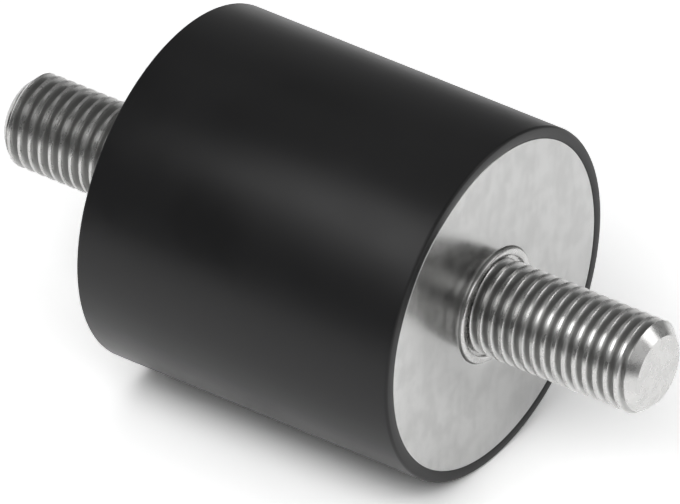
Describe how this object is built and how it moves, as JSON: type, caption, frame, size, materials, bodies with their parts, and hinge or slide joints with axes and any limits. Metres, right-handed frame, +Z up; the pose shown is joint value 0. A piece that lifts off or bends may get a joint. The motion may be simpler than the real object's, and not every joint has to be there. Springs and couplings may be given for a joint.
{
  "type": "bobbin vibration mount",
  "caption": "Cylindrical rubber vibration mount bonded between flush steel end plates, with a coaxial threaded stud standing out of each end.",
  "frame": {"origin": "middle of the rubber body on the common axis of the two studs", "axes": "+X along the axis towards the front stud. The mount lies on its side with +Z up. Loose on a floor it would roll, so it is held by its rear stud, as it is in use"},
  "size_m": [0.1226, 0.06, 0.06],
  "materials": {
    "rubber": "satin black moulded natural rubber",
    "plate_steel": "zinc plated, slightly cloudy",
    "stud_steel": "zinc plated, bright"
  },
  "bodies": {
    "root": {"rubber_body": "rubber", "front_plate": "plate_steel", "rear_plate": "plate_steel", "front_stud": "stud_steel", "rear_stud": "stud_steel"}
  },
  "joints": []
}
